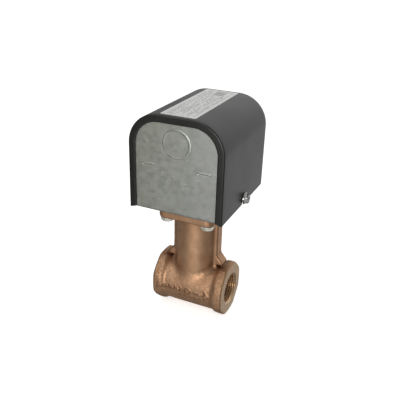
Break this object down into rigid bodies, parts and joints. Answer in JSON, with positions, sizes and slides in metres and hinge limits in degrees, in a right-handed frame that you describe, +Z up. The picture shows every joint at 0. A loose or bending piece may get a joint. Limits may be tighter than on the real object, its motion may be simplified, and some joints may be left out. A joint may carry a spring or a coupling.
{
  "type": "paddle flow switch",
  "caption": "Pipe-mounted paddle flow switch: bronze threaded tee with a ribbed neck, sprung paddle and lever, snap switch and range screw in an arched sheet-metal enclosure with a lift-off cover.",
  "frame": {"origin": "centre of the bounding box at the foot, midway between the flats that the two end collars stand on, straight below the crossing of the pipe and neck axes", "axes": "+X along the pipe in the direction of flow, +Y from the enclosure's front to its back, +Z up the neck"},
  "size_m": [0.0816, 0.0874, 0.1752],
  "materials": {
    "cast_bronze": "sand-cast bronze, machined at the ports",
    "black_enamel": "semi-gloss dark enamel on drawn sheet",
    "galvanised_sheet": "galvanised sheet steel, faint spangle",
    "zinc_screw": "zinc-plated steel",
    "stainless": "stainless steel",
    "brass_part": "machined brass",
    "phenolic": "moulded phenolic",
    "plunger_plastic": "moulded nylon",
    "gasket_fibre": "compressed fibre sheet",
    "fish_paper": "vulcanised fibre sheet",
    "label_foil": "printed silver foil, bare of words",
    "ground_green": "green lacquered steel"
  },
  "bodies": {
    "frame": {"tee_body": "cast_bronze", "body_gasket": "gasket_fibre", "adapter_plate": "cast_bronze", "flange_screws": "zinc_screw", "bellows": "brass_part", "fulcrum_bracket": "galvanised_sheet", "pivot_pin": "stainless", "pivot_clips": "stainless", "fulcrum_screws": "zinc_screw", "chassis": "galvanised_sheet", "chassis_screws": "zinc_screw", "ground_screw": "ground_green", "switch_bracket": "galvanised_sheet", "bracket_screws": "zinc_screw", "switch_insulator": "fish_paper", "switch_case": "phenolic", "switch_lid": "phenolic", "terminal_plates": "brass_part", "terminal_screws": "zinc_screw", "switch_screws": "zinc_screw", "range_bracket": "galvanised_sheet", "range_bracket_screw": "zinc_screw", "range_spring": "stainless"},
    "paddle_lever": {"paddle_arm": "brass_part", "paddle": "stainless", "paddle_screws": "stainless", "switch_lever": "stainless", "lever_rivets": "brass_part", "spring_seat": "brass_part"},
    "plunger": {"switch_plunger": "plunger_plastic"},
    "adjuster": {"range_screw": "zinc_screw"},
    "nut": {"spring_nut": "brass_part"},
    "lid": {"cover": "black_enamel", "rating_label": "label_foil"},
    "screw_right": {"cover_screw_right": "zinc_screw"},
    "screw_left": {"cover_screw_left": "zinc_screw"}
  },
  "joints": [
    {"name": "paddle_swing", "type": "hinge", "parent": "frame", "child": "paddle_lever", "pos_m": [0, 0, 0.11], "axis": [0, -1, 0], "range_deg": [0, 5], "stiffness_Nm_per_rad": 0.5, "springref_deg": -17.19, "deforming": ["bellows", "range_spring"]},
    {"name": "plunger_travel", "type": "slide", "parent": "frame", "child": "plunger", "axis": [0, 0, 1], "range_m": [0, 0.00095]},
    {"name": "range_adjust", "type": "hinge", "parent": "frame", "child": "adjuster", "pos_m": [0.0265, 0, 0.14], "axis": [0, 0, -1], "range_deg": [0, 1800]},
    {"name": "nut_travel", "type": "slide", "parent": "frame", "child": "nut", "axis": [0, 0, -1], "range_m": [0, 0.00528], "deforming": ["range_spring"]},
    {"name": "cover_lift", "type": "slide", "parent": "frame", "child": "lid", "axis": [0, 0, 1], "range_m": [0, 0.09]},
    {"name": "cover_screw_right_turn", "type": "hinge", "parent": "frame", "child": "screw_right", "pos_m": [0.0385, 0.0014, 0.1055], "axis": [-1, 0, 0], "range_deg": [-720, 0]},
    {"name": "cover_screw_left_turn", "type": "hinge", "parent": "frame", "child": "screw_left", "pos_m": [-0.0385, 0.0014, 0.1055], "axis": [1, 0, 0], "range_deg": [-720, 0]}
  ],
  "couplings": [
    {"joint": "plunger_travel", "follows": "paddle_swing", "m_per_rad": 0.01},
    {"joint": "range_adjust", "follows": "nut_travel", "rad_per_m": 5938.7}
  ]
}
